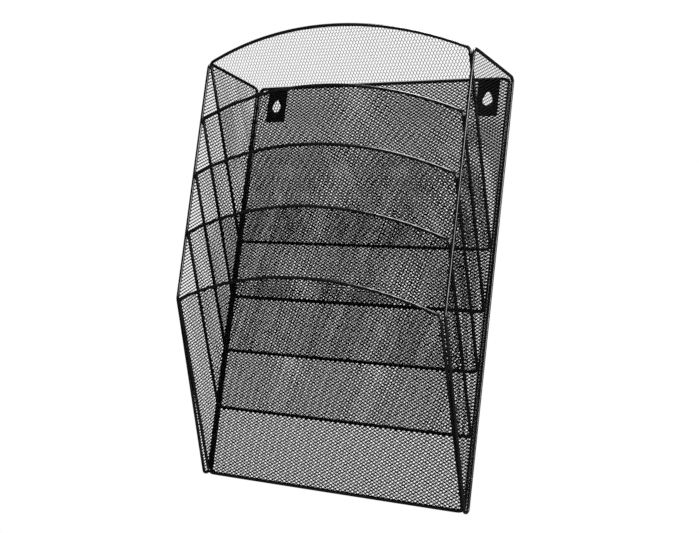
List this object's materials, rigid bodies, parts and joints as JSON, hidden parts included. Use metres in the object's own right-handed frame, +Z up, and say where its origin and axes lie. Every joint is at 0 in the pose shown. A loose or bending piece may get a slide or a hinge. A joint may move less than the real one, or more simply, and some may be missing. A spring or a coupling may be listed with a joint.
{
  "type": "newspaper rack",
  "caption": "Wall-hung rack of black steel mesh in wire frames, with leaning arch-topped pockets one above another and keyhole tabs.",
  "frame": {"origin": "on the wall plane, halfway between the two keyholes, at the height where the screws seat", "axes": "+X to the right as seen from the front, -Y out from the wall towards the front, +Z up"},
  "size_m": [0.2592, 0.091, 0.3777],
  "materials": {
    "wire_paint": "semi-gloss black powder coat on drawn steel wire",
    "mesh_paint": "semi-gloss black powder coat on expanded steel mesh",
    "tab_paint": "satin black powder coat on steel plate"
  },
  "bodies": {
    "root": {"back_frame": "wire_paint", "back_mesh": "mesh_paint", "left_side_frame": "wire_paint", "left_side_mesh": "mesh_paint", "right_side_frame": "wire_paint", "right_side_mesh": "mesh_paint", "pocket_1_frame": "wire_paint", "pocket_1_mesh": "mesh_paint", "pocket_2_frame": "wire_paint", "pocket_2_mesh": "mesh_paint", "pocket_3_frame": "wire_paint", "pocket_3_mesh": "mesh_paint", "pocket_4_frame": "wire_paint", "pocket_4_mesh": "mesh_paint", "pocket_5_frame": "wire_paint", "pocket_5_mesh": "mesh_paint", "left_hanging_tab": "tab_paint", "right_hanging_tab": "tab_paint"}
  },
  "joints": []
}
